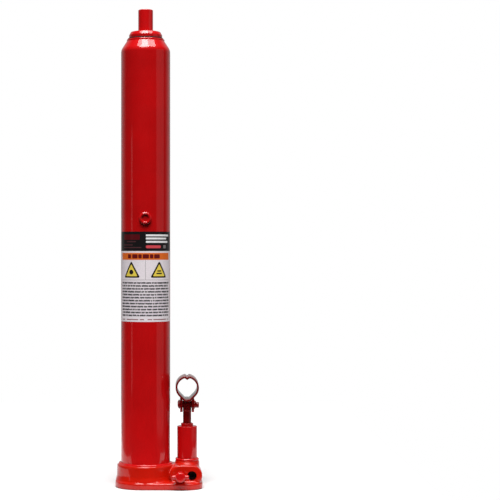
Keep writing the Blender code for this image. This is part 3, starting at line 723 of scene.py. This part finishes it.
def weld(name, radius, thickness, height, ripples, seed, at=(0, 0, 0)):
    """A bead of weld laid round a foot in overlapping ripples, uneven as one laid by hand."""
    nothing_selected()
    bpy.ops.mesh.primitive_torus_add(major_segments=360, minor_segments=20, major_radius=radius,
                                     minor_radius=thickness, location=(0, 0, height))
    bead = start(name)
    draw = random.Random(seed)
    waves = [(draw.randint(3, 17), draw.uniform(0, 2 * math.pi), draw.uniform(0.03, 0.09)) for _ in range(5)]
    depth = 0.05  # of a ripple, as a share of the bead's own radius
    mesh = bmesh.from_edit_mesh(bead.data)
    for vertex in mesh.verts:
        angle = math.atan2(vertex.co.y, vertex.co.x)
        ripple = depth * abs(math.sin(angle * ripples / 2))
        ripple += sum(share * math.sin(number * angle + phase) for number, phase, share in waves)
        core_x, core_y = radius * math.cos(angle), radius * math.sin(angle)
        vertex.co.x = core_x + (vertex.co.x - core_x) * (1 + ripple)
        vertex.co.y = core_y + (vertex.co.y - core_y) * (1 + ripple)
        vertex.co.z *= 1 + ripple
    bmesh.update_edit_mesh(bead.data)
    bpy.ops.object.mode_set(mode="OBJECT")
    return sprayed(tidy(place(bead, at), 60), "root", peel=1.2)


def welds():
    """The beads round the feet of the column and of the pump."""
    thickness = 1.7 * MM
    weld("column_weld", TUBE_RADIUS + 1.2 * MM, thickness, 29.9 * MM, ripples=52, seed=4)
    weld("pump_weld", 13.6 * MM, thickness, BASE_HIGH.z - 1.8 * MM, ripples=26, seed=9, at=(PUMP_X, 0, 0))


# ---------------------------------------------------------------- the pump and its lever


def pump_barrel():
    """The pump's cylinder, screwed into the base, and the gland ring in its mouth."""
    radius = size("pump_cylinder").x / 2
    inner, seat, mouth = 5.8 * MM, 10 * MM, 8.3 * MM
    low, high = PUMP_LOW.z, PUMP_HIGH.z
    step, ledge = BASE_HIGH.z + 0.3 * MM, 69 * MM
    barrel = lathe("pump_barrel", rounded([
        (inner, low, 0), (seat, low, 0.8 * MM), (seat, step, 0), (radius, step, 0.4 * MM),
        (radius, high, 0.9 * MM), (mouth, high, 0.3 * MM), (mouth, ledge, 0), (inner, ledge, 0),
    ]), ring=True)
    sprayed(place(barrel, (PUMP_X, 0, 0)), "root", "pump_cylinder")
    low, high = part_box("pump_gland_ring")
    outer = 8 * MM
    gland = lathe("gland_ring", rounded([
        (inner, low.z, 0), (outer, low.z, 0), (outer, high.z, 1.1 * MM),
        (inner + 0.2 * MM, high.z, 0.4 * MM), (inner, high.z - 0.6 * MM, 0),
    ]), ring=True)
    return sprayed(place(gland, (PUMP_X, 0, 0)), "root", "pump_gland_ring")


def plunger():
    """The pump's plunger, grooved for its seal, with its rounded, bored eye."""
    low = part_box("pump_plunger")[0].z - PIVOT[2]
    radius, groove = 5.4 * MM, 4.2 * MM
    rod = lathe("plunger_rod", rounded([
        (4.6 * MM, low, 0), (radius, low + 0.6 * MM, 0.3 * MM), (radius, low + 3 * MM, 0),
        (groove, low + 3 * MM, 0), (groove, low + 5.4 * MM, 0), (radius, low + 5.4 * MM, 0),
        (radius, -4 * MM, 0),
    ]))
    half, foot = 6.3 * MM, -8 * MM
    outline = rounded([
        (-half, foot, 1.5 * MM), (half, foot, 1.5 * MM), (half, half, 6.2 * MM), (-half, half, 6.2 * MM),
    ], closed=True, steps=12)
    eye = place(soften(plate("plunger_eye", outline, -5.3 * MM, 5.3 * MM), 0.6 * MM), turn=ACROSS)
    hole = bore("plunger_eye_bore", PINS["pivot"][1] + PIN_GAP, -9 * MM, 9 * MM, turn=SIDE)
    combine(combine(rod, eye, "UNION"), hole, "DIFFERENCE")
    # Painted shade: the plunger's enamel is darkened to half for the shadow under the socket and ears
    return sprayed(place(tidy(rod), PIVOT), "plunger", "pump_plunger", shade=0.5)


def socket_path(radius, flat, dent_width, dent_depth):
    """A rolled sheet's middle line: round, with a flat-bottomed vee below and a crimp on top."""
    drop = radius * math.sqrt(2)
    path = [(-flat, flat - drop), (flat, flat - drop)]
    gap, steps = math.degrees(dent_width / radius), 32
    near, slope = dent_width * 0.45, radius - dent_depth * 0.62
    for low, high in ((-45, 90 - gap), (90 + gap, 225)):
        for i in range(steps + 1):
            angle = math.radians(low + (high - low) * i / steps)
            path.append((radius * math.cos(angle), radius * math.sin(angle)))
        if low < 0:
            path += [(near, slope), (0, radius - dent_depth), (-near, slope)]
    return path


def handle_socket():
    """The rolled sleeve that takes the pump handle."""
    wall = 2.3 * MM
    outer = size("handle_socket").x / 2
    path = socket_path(outer - wall / 2, flat=3.4 * MM, dent_width=2.9 * MM, dent_depth=2.3 * MM)
    front, back = -SOCKET_LOW.y, -15 * MM
    sleeve = drawn("socket_sleeve", path, back, "NOTHING")
    bpy.ops.mesh.extrude_edges_move(TRANSFORM_OT_translate={"value": (0, 0, front - back)})
    bpy.ops.object.mode_set(mode="OBJECT")
    modify(tidy(sleeve), "SOLIDIFY", thickness=wall, offset=0, use_even_offset=True)
    soften(sleeve, 0.3 * MM, angle=50)
    place(sleeve, (PUMP_X, 0, SOCKET_HIGH.z - outer), FRONT)
    # Painted shade: the sleeve's enamel is darkened to 0.3 so its front rim reads as shaded maroon
    return sprayed(sleeve, "lever", "handle_socket", shade=0.3)


def socket_ears():
    """Two side plates under the sleeve that straddle the plunger's eye and the link."""
    arm, far = LINK_PIN[1], LINK_PIN[1] + 8 * MM
    near, foot, top = -8.5 * MM, -8.9 * MM, 12.4 * MM
    thickness, deep = 3.2 * MM, 15 * MM
    outline = rounded([
        (near, foot, 4 * MM), (far, foot, 7.6 * MM), (far, 8 * MM, 7.6 * MM),
        (17 * MM, 8 * MM, 3 * MM), (13.5 * MM, top, 1 * MM), (near, top, 1 * MM),
    ], closed=True, steps=10)
    for side, low in (("left", -EARS), ("right", EARS - thickness)):
        ear = place(plate("socket_ear_" + side, outline, low, low + thickness), turn=ACROSS)
        for pin, along in (("pivot", 0), ("link", arm)):
            hole = bore("pin_hole", PINS[pin][1] + PIN_GAP, -deep, deep, (0, along, 0), SIDE)
            combine(ear, hole, "DIFFERENCE")
        # Painted shade: the ears' enamel is darkened to 0.7 for the shade under the sleeve
        sprayed(place(soften(ear, 0.5 * MM), PIVOT), "lever", shade=0.7)


def headed_pin(pin):
    """A clevis pin along X: a domed head, a shank and a grooved, chamfered end."""
    body, radius, head, face = PINS[pin]
    low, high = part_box(pin + "_pin")
    centre = (low + high) / 2
    back, tip = low.x - PUMP_X, high.x - PUMP_X
    seat, groove, ledge = -face - PIN_GAP, face + PIN_GAP, face + 1.2 * MM
    core, thin, steps = radius - 0.3 * MM, 0.4 * MM, 8
    path = [(thin, back)]
    for i in range(1, steps + 1):
        angle = math.radians(90 * i / steps)
        path.append((head * math.sin(angle), seat - (seat - back) * math.cos(angle)))
    path += rounded([
        (head, seat, 0), (radius, seat, 0.2 * MM), (radius, groove, 0), (core, groove, 0), (core, ledge, 0),
        (radius, ledge, 0.1 * MM), (radius, tip, 0.9 * MM), (thin, tip, 0),
    ])[1:]
    rivet = place(lathe(pin + "_rivet", path), (PUMP_X, centre.y, centre.z), SIDE)
    # Painted shade: the pins' enamel is darkened to 0.6, like the other shaded lever parts
    return sprayed(rivet, body, pin + "_pin", shade=0.6)


def clip(pin):
    """A round-wire retaining ring in the pin's groove."""
    body, radius = PINS[pin][:2]
    low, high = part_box(pin + "_clip")
    outer, half = (high.y - low.y) / 2, (high.x - low.x) / 2
    inner = radius + 0.15 * MM
    near, far = 0.2 * MM, 0.35 * MM
    path = rounded([(inner, -half, near), (outer, -half, far), (outer, half, far), (inner, half, near)],
                   closed=True, steps=4)
    ring = place(lathe(pin + "_ring", path, ring=True), (low + high) / 2, SIDE)
    return finish(ring, body, "dark_steel", enamel(pin + "_ring_enamel"), pin + "_clip")


def pins():
    """The three clevis pins of the linkage, then their clips."""
    for make in (headed_pin, clip):
        for pin in PINS:
            make(pin)


def fulcrum_link():
    """The link bar behind the pump, waisted between its round foot and its slotted eye."""
    rise = LINK_PIN[2] - FULCRUM[2]
    half, waist, deep = size("fulcrum_link").x / 2, 5 * MM, 9 * MM
    outline = [(-waist, 0, 0), (waist, 0, 0), (waist, rise, 0), (-waist, rise, 0)]
    bar = plate("link_bar", rounded(outline, closed=True), -half, half)
    combine(bar, plate("link_foot", stadium((0, 0), 0.01 * MM, 7 * MM), -half, half + TINY), "UNION")
    combine(bar, plate("link_eye", stadium((0, rise), 2.2 * MM, 6.6 * MM), -half - TINY, half), "UNION")
    combine(bar, plate("link_slot", stadium((0, rise), 2.7 * MM, 3.45 * MM), -deep, deep), "DIFFERENCE")
    combine(bar, bore("link_foot_bore", PINS["fulcrum"][1] + PIN_GAP, -deep, deep), "DIFFERENCE")
    # Painted shade: the link's enamel is darkened to 0.6, like the shaded lever parts
    return sprayed(place(soften(bar, 0.5 * MM), FULCRUM, ACROSS), "link", "fulcrum_link", shade=0.6)


# ---------------------------------------------------------------- the valves


def release_valve():
    """The release screw's round head and grooved stem, with the cross pin that turns it."""
    face, reach = 32.5 * MM, -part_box("release_valve_stem")[0].y
    tip, radius, groove, head = 2.5 * MM, 4.5 * MM, 3.1 * MM, 6.5 * MM
    stem = lathe("release_screw", rounded([
        (1.2 * MM, 17 * MM, 0), (tip, 17 * MM, 0), (radius, 19 * MM, 0), (radius, 23 * MM, 0),
        (groove, 23 * MM, 0), (groove, 25.6 * MM, 0), (radius, 25.6 * MM, 0), (radius, face, 0),
        (head, face, 0.8 * MM), (head, reach, 2.2 * MM), (1 * MM, reach, 0),
    ], steps=8))
    place(stem, turn=FRONT)
    cross = (0, middle("release_cross_pin").y, 0)
    combine(stem, bore("cross_pin_bore", 3.1 * MM, -12 * MM, 12 * MM, cross, SIDE), "DIFFERENCE")
    place(soften(stem, 0.25 * MM, 2, 50), (RELEASE_X, 0, RELEASE_Z))
    # Painted shade: the stem's enamel is darkened to 0.85
    sprayed(stem, "release_valve", "release_valve_stem", shade=0.85)
    half, thick, thin = size("release_cross_pin").x / 2, 2.9 * MM, 0.4 * MM
    bar = lathe("release_bar", rounded([
        (thin, -half, 0), (thick, -half, 1.5 * MM), (thick, half, 1.5 * MM), (thin, half, 0)
    ], steps=8))
    place(bar, middle("release_cross_pin"), SIDE)
    # Painted shade: the cross pin's enamel is darkened to 0.8
    return sprayed(bar, "release_valve", "release_cross_pin", shade=0.8)


def relief_screw():
    """The adjusting screw, sunk in the boss, with a hexagon socket; its near-black colour is painted shade
    for the deep bore.
    """
    low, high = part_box("relief_screw")
    back, front = -high.y, -low.y
    thin, radius, corner = 1 * MM, 5.8 * MM, 2.9 * MM
    screw = lathe("sunk_screw", rounded([
        (thin, back, 0), (radius, back, 0.5 * MM), (radius, front, 0.9 * MM), (thin, front, 0)
    ]))
    turns = [math.radians(60 * i) for i in range(6)]
    hexagon = [(corner * math.cos(turn), corner * math.sin(turn)) for turn in turns]
    combine(screw, plate("hexagon", hexagon, front - 3 * MM, front + 4 * MM), "DIFFERENCE")
    place(tidy(screw), (RELIEF_X, 0, RELEASE_Z), FRONT)
    # Painted shade: the near-black colour stands for the shade deep in the bore, over the screw's own steel
    steel = metal("sunk_screw_painted_shade_black", (0.020, 0.014, 0.014), 0.7)
    return finish(screw, "root", "dark_steel", steel, "relief_screw")


# ---------------------------------------------------------------- pieces that the frame already shapes


def inner_pieces():
    """Finishes for the frame's own nodes inside the jack."""
    ground = metal("ground_steel", (0.60, 0.60, 0.61), 0.25)
    black = metal("black_steel", (0.13, 0.13, 0.14), 0.45)
    copper = metal("soft_copper", (0.72, 0.35, 0.22), 0.35)
    brass = metal("turned_brass", (0.68, 0.50, 0.22), 0.35)
    rubber = polymer("seal_rubber", (0.02, 0.02, 0.02), 0.6)
    amber = polymer("wiper_polymer", (0.55, 0.33, 0.10), 0.45)
    painted = enamel("gallery_enamel")
    finishes = {
        ground: ("inner_cylinder", "backup_washer", "release_ball", "relief_ball", "suction_ball",
                 "discharge_ball"),
        black: ("ram_piston", "piston_nut", "relief_spring"),
        copper: ("lower_cylinder_gasket", "upper_cylinder_gasket", "pump_gasket"),
        brass: ("suction_strainer",),
        painted: ("pressure_gallery_plug", "suction_gallery_plug"),
        rubber: ("ram_rod_seal", "piston_cup_seal", "plunger_lip_seal", "plunger_o_ring", "release_o_ring"),
        amber: ("ram_wiper",),
    }
    for material, names in finishes.items():
        for name in names:
            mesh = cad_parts[name].data
            mesh.materials.clear()
            mesh.materials.append(material)


# ---------------------------------------------------------------- the stage


def floor():
    """A plain pale floor, wide enough for the jack's shadow."""
    look = bpy.context.scene.jack_stage
    nothing_selected()
    front = 115 * MM  # how far the floor comes forward of the jack's axis
    bpy.ops.mesh.primitive_plane_add(size=1, location=(20 * MM, look.floor_depth / 2 - front, 0))
    bpy.ops.transform.resize(value=(look.floor_width, look.floor_depth, 1))
    ground = bpy.context.object
    ground.name = "pale_floor"
    place(ground)
    material, shader = new_material("pale_floor_paint", Roughness=0.9, Specular_IOR_Level=0.1)
    vary(material, shader, "Base Color", noise(material, 3, 3), look.floor * 0.99, look.floor)
    ground.data.materials.append(material)


def softbox(name, at, target, width, height, power):
    """A rectangular lamp that faces a point."""
    nothing_selected()
    bpy.ops.object.light_add(type="AREA", location=at)
    lamp = bpy.context.object
    lamp.name = name
    lamp.data.shape = "RECTANGLE"
    lamp.data.size = width
    lamp.data.size_y = height
    lamp.data.energy = power
    lamp.rotation_euler = (Vector(target) - Vector(at)).to_track_quat("-Z", "Y").to_euler()


def key_light():
    """One broad, soft light from high in front, the same over the whole floor."""
    look = bpy.context.scene.jack_stage
    nothing_selected()
    bpy.ops.object.light_add(type="SUN")
    lamp = bpy.context.object
    lamp.name = "key_light"
    lamp.data.energy = look.key
    lamp.data.angle = look.key_spread
    lamp.rotation_euler = Vector((0.06, 0.58, -1.0)).to_track_quat("-Z", "Y").to_euler()


def room():
    """A white room: bright behind the jack, dim on the camera's side, so that only the rims catch it."""
    look = bpy.context.scene.jack_stage
    world = bpy.data.worlds.new("white_room")
    bpy.context.scene.world = world
    world.use_nodes = True
    nodes, links = world.node_tree.nodes, world.node_tree.links
    lit = nodes["Background"]
    shown = nodes.new("ShaderNodeBackground")
    direction = nodes.new("ShaderNodeTexCoord")
    parts = nodes.new("ShaderNodeSeparateXYZ")
    wall = nodes.new("ShaderNodeValToRGB")
    path = nodes.new("ShaderNodeLightPath")
    mix = nodes.new("ShaderNodeMixShader")
    wall.color_ramp.elements[0].position = 0.25
    wall.color_ramp.elements[1].position = 0.75
    for element, level in zip(wall.color_ramp.elements, (look.room_front, look.room_back)):
        element.color = (level, level, level, 1)
    links.new(direction.outputs["Generated"], parts.inputs["Vector"])
    links.new(parts.outputs["Y"], wall.inputs["Fac"])
    links.new(wall.outputs["Color"], lit.inputs["Color"])
    shown.inputs["Color"].default_value = (1, 1, 1, 1)
    links.new(path.outputs["Is Camera Ray"], mix.inputs["Fac"])
    links.new(lit.outputs["Background"], mix.inputs[1])
    links.new(shown.outputs["Background"], mix.inputs[2])
    links.new(mix.outputs["Shader"], nodes["World Output"].inputs["Surface"])


def lights():
    """The key light, three softboxes, the room and the plain view transform."""
    look = bpy.context.scene.jack_stage
    centre = (0.02, 0, CAD_BOX[1][2] / 2)
    key_light()
    softbox("right_box", (2.0, -0.6, 0.6), centre, 1.6, 1.6, look.side)
    softbox("top_box", (0.2, -0.95, 3.3), centre, 3.2, 1.5, look.top)
    softbox("left_strip", (-1.83, -0.81, 0.3), centre, 0.14, 0.7, look.strip)
    room()
    bpy.context.scene.view_settings.view_transform = "Standard"


def camera():
    """Straight ahead, level with the middle of the jack, with the jack left of the frame's middle."""
    look = bpy.context.scene.jack_stage
    nothing_selected()
    place_at = (look.camera_x, -look.distance, look.eye)
    bpy.ops.object.camera_add(location=place_at, rotation=(math.pi / 2, 0, 0))
    view = bpy.context.object
    view.data.sensor_width = 36
    view.data.lens = look.lens
    view.data.shift_x = look.shift
    bpy.context.scene.camera = view


# ---------------------------------------------------------------- settings


class JackEnamel(bpy.types.PropertyGroup):
    colour: bpy.props.FloatVectorProperty(
        name="Colour", description="Colour of the enamel", subtype="COLOR", min=0, max=1,
        default=(0.53, 0.003, 0.004))
    roughness: bpy.props.FloatProperty(
        name="Roughness", description="Roughness of the paint under its gloss", min=0, max=1, default=0.4)
    coat: bpy.props.FloatProperty(
        name="Gloss coat", description="Strength of the glossy top layer", min=0, max=1, default=0.9)
    coat_roughness: bpy.props.FloatProperty(
        name="Coat roughness", description="How blurred the gloss is", min=0, max=1, default=0.06)


class JackCasting(bpy.types.PropertyGroup):
    grain: bpy.props.FloatProperty(
        name="Grain", description="Size of the casting's mesh cells", unit="LENGTH", default=0.75 * MM)
    softness: bpy.props.IntProperty(
        name="Softness", description="How often the casting's edges are smoothed", min=0, default=7)
    colour: bpy.props.FloatVectorProperty(
        name="Colour", description="The enamel's warmer colour over cast iron", subtype="COLOR", min=0, max=1,
        default=(0.45, 0.006, 0.001))
    sand_depth: bpy.props.FloatProperty(
        name="Sand depth", description="Depth of the sand texture", unit="LENGTH", min=0, default=0.25 * MM)


class JackLabel(bpy.types.PropertyGroup):
    half_width: bpy.props.FloatProperty(
        name="Half width", description="Half the film's width round the column", unit="LENGTH",
        default=44 * MM)
    film: bpy.props.FloatVectorProperty(
        name="Film", description="Colour of the bare film", subtype="COLOR", min=0, max=1,
        default=(0.93, 0.85, 0.89))
    rows: bpy.props.IntProperty(name="Rows", description="Rows of plain bars", min=1, default=12)
    row_pitch: bpy.props.FloatProperty(
        name="Row pitch", description="Distance between two rows", unit="LENGTH", default=3.79 * MM)
    seed: bpy.props.IntProperty(name="Seed", description="Picks the lengths of the bars", default=3)


class JackStage(bpy.types.PropertyGroup):
    floor: bpy.props.FloatProperty(
        name="Floor", description="Brightness of the floor", min=0, max=1, default=0.74)
    room_front: bpy.props.FloatProperty(
        name="Room in front", description="Brightness of the room on the camera's side", min=0, default=0.03)
    room_back: bpy.props.FloatProperty(
        name="Room behind", description="Brightness of the room behind the jack", min=0, default=0.45)
    key: bpy.props.FloatProperty(
        name="Key light", description="Strength of the key light", min=0, default=2.7)
    key_spread: bpy.props.FloatProperty(
        name="Key spread", description="Apparent width of the key light", unit="ROTATION",
        default=math.radians(34))
    side: bpy.props.FloatProperty(
        name="Side light", description="Power of the side softbox", unit="POWER", default=2.2)
    strip: bpy.props.FloatProperty(
        name="Strip light", description="Power of the strip", unit="POWER", default=0.25)
    top: bpy.props.FloatProperty(
        name="Top light", description="Power of the top softbox", unit="POWER", default=125)
    floor_width: bpy.props.FloatProperty(
        name="Floor width", description="Width of the floor", unit="LENGTH", default=0.7)
    floor_depth: bpy.props.FloatProperty(
        name="Floor depth", description="Depth of the floor", unit="LENGTH", default=1.2)
    distance: bpy.props.FloatProperty(
        name="Distance", description="From the ram's axis to the camera", unit="LENGTH", default=2.0)
    eye: bpy.props.FloatProperty(
        name="Eye", description="Height of the camera", unit="LENGTH", default=0.3073)
    camera_x: bpy.props.FloatProperty(
        name="Camera X", description="How far right of the ram the camera stands", unit="LENGTH",
        default=0.035)
    lens: bpy.props.FloatProperty(name="Lens", description="Focal length", unit="CAMERA", default=110.5)
    shift: bpy.props.FloatProperty(
        name="Shift", description="Sideways lens shift that frames the jack", default=0.155)


# ---------------------------------------------------------------- operators


class JackOperator:
    bl_options = {"REGISTER", "UNDO"}


class JACK_OT_reservoir(JackOperator, bpy.types.Operator):
    """Model the painted oil tube"""
    bl_idname = "jack.reservoir"
    bl_label = "Reservoir tube"

    def execute(self, context):
        reservoir()
        return {"FINISHED"}


class JACK_OT_top_nut(JackOperator, bpy.types.Operator):
    """Model the gland nut and its washer"""
    bl_idname = "jack.top_nut"
    bl_label = "Top nut"

    def execute(self, context):
        top_nut()
        nut_washer()
        return {"FINISHED"}


class JACK_OT_ram(JackOperator, bpy.types.Operator):
    """Model the ram and its nose"""
    bl_idname = "jack.ram"
    bl_label = "Ram"

    def execute(self, context):
        ram()
        return {"FINISHED"}


class JACK_OT_filler_plug(JackOperator, bpy.types.Operator):
    """Model the oil filler's bung"""
    bl_idname = "jack.filler_plug"
    bl_label = "Filler plug"

    def execute(self, context):
        filler_plug()
        return {"FINISHED"}


class JACK_OT_label(JackOperator, bpy.types.Operator):
    """Lay the plain printed label round the column"""
    bl_idname = "jack.label"
    bl_label = "Label"

    def execute(self, context):
        label_film()
        label_panel()
        label_band()
        label_signs()
        label_lines()
        return {"FINISHED"}


class JACK_OT_base(JackOperator, bpy.types.Operator):
    """Model the cast base"""
    bl_idname = "jack.base"
    bl_label = "Base casting"

    def execute(self, context):
        base()
        return {"FINISHED"}


class JACK_OT_welds(JackOperator, bpy.types.Operator):
    """Lay the weld beads at the feet of the column and the pump"""
    bl_idname = "jack.welds"
    bl_label = "Weld beads"

    def execute(self, context):
        welds()
        return {"FINISHED"}


class JACK_OT_pump(JackOperator, bpy.types.Operator):
    """Model the pump's barrel, gland ring and plunger"""
    bl_idname = "jack.pump"
    bl_label = "Pump"

    def execute(self, context):
        pump_barrel()
        plunger()
        return {"FINISHED"}


class JACK_OT_socket(JackOperator, bpy.types.Operator):
    """Model the handle socket and its ears"""
    bl_idname = "jack.socket"
    bl_label = "Handle socket"

    def execute(self, context):
        handle_socket()
        socket_ears()
        return {"FINISHED"}


class JACK_OT_link(JackOperator, bpy.types.Operator):
    """Model the link, the pins and their clips"""
    bl_idname = "jack.link"
    bl_label = "Link and pins"

    def execute(self, context):
        pins()
        fulcrum_link()
        return {"FINISHED"}


class JACK_OT_valves(JackOperator, bpy.types.Operator):
    """Model the release valve and the sunk relief screw"""
    bl_idname = "jack.valves"
    bl_label = "Valves"

    def execute(self, context):
        release_valve()
        relief_screw()
        return {"FINISHED"}


class JACK_OT_inner_pieces(JackOperator, bpy.types.Operator):
    """Finish the pieces inside the jack"""
    bl_idname = "jack.inner_pieces"
    bl_label = "Inner pieces"

    def execute(self, context):
        inner_pieces()
        return {"FINISHED"}


class JACK_OT_stage(JackOperator, bpy.types.Operator):
    """Set up the floor, the lights and the camera"""
    bl_idname = "jack.stage"
    bl_label = "Stage"

    def execute(self, context):
        floor()
        lights()
        camera()
        return {"FINISHED"}


SETTINGS = {
    "jack_enamel": JackEnamel,
    "jack_casting": JackCasting,
    "jack_label": JackLabel,
    "jack_stage": JackStage,
}
OPERATORS = (
    JACK_OT_stage, JACK_OT_reservoir, JACK_OT_top_nut, JACK_OT_ram, JACK_OT_filler_plug, JACK_OT_label,
    JACK_OT_base, JACK_OT_welds, JACK_OT_pump, JACK_OT_socket, JACK_OT_link, JACK_OT_valves,
    JACK_OT_inner_pieces,
)


class JACK_PT_panel(bpy.types.Panel):
    """Lists the settings and the operators"""
    bl_idname = "JACK_PT_panel"
    bl_label = "Bottle Jack"
    bl_space_type = "VIEW_3D"
    bl_region_type = "UI"
    bl_category = "Bottle Jack"

    def draw(self, context):
        for name, group in SETTINGS.items():
            box = self.layout.box()
            for setting in group.__annotations__:
                box.prop(getattr(context.scene, name), setting)
        for operator in OPERATORS:
            self.layout.operator(operator.bl_idname)


def register():
    for cls in (*SETTINGS.values(), *OPERATORS, JACK_PT_panel):
        bpy.utils.register_class(cls)
    for name, group in SETTINGS.items():
        setattr(bpy.types.Scene, name, bpy.props.PointerProperty(type=group))


def unregister():
    for name in SETTINGS:
        delattr(bpy.types.Scene, name)
    for cls in (JACK_PT_panel, *reversed(OPERATORS), *reversed(tuple(SETTINGS.values()))):
        bpy.utils.unregister_class(cls)


def main():
    register()
    bpy.ops.jack.stage()
    bpy.ops.jack.reservoir()
    bpy.ops.jack.top_nut()
    bpy.ops.jack.ram()
    bpy.ops.jack.filler_plug()
    bpy.ops.jack.label()
    bpy.ops.jack.base()
    bpy.ops.jack.welds()
    bpy.ops.jack.pump()
    bpy.ops.jack.socket()
    bpy.ops.jack.link()
    bpy.ops.jack.valves()
    bpy.ops.jack.inner_pieces()


if __name__ == "__main__":
    main()
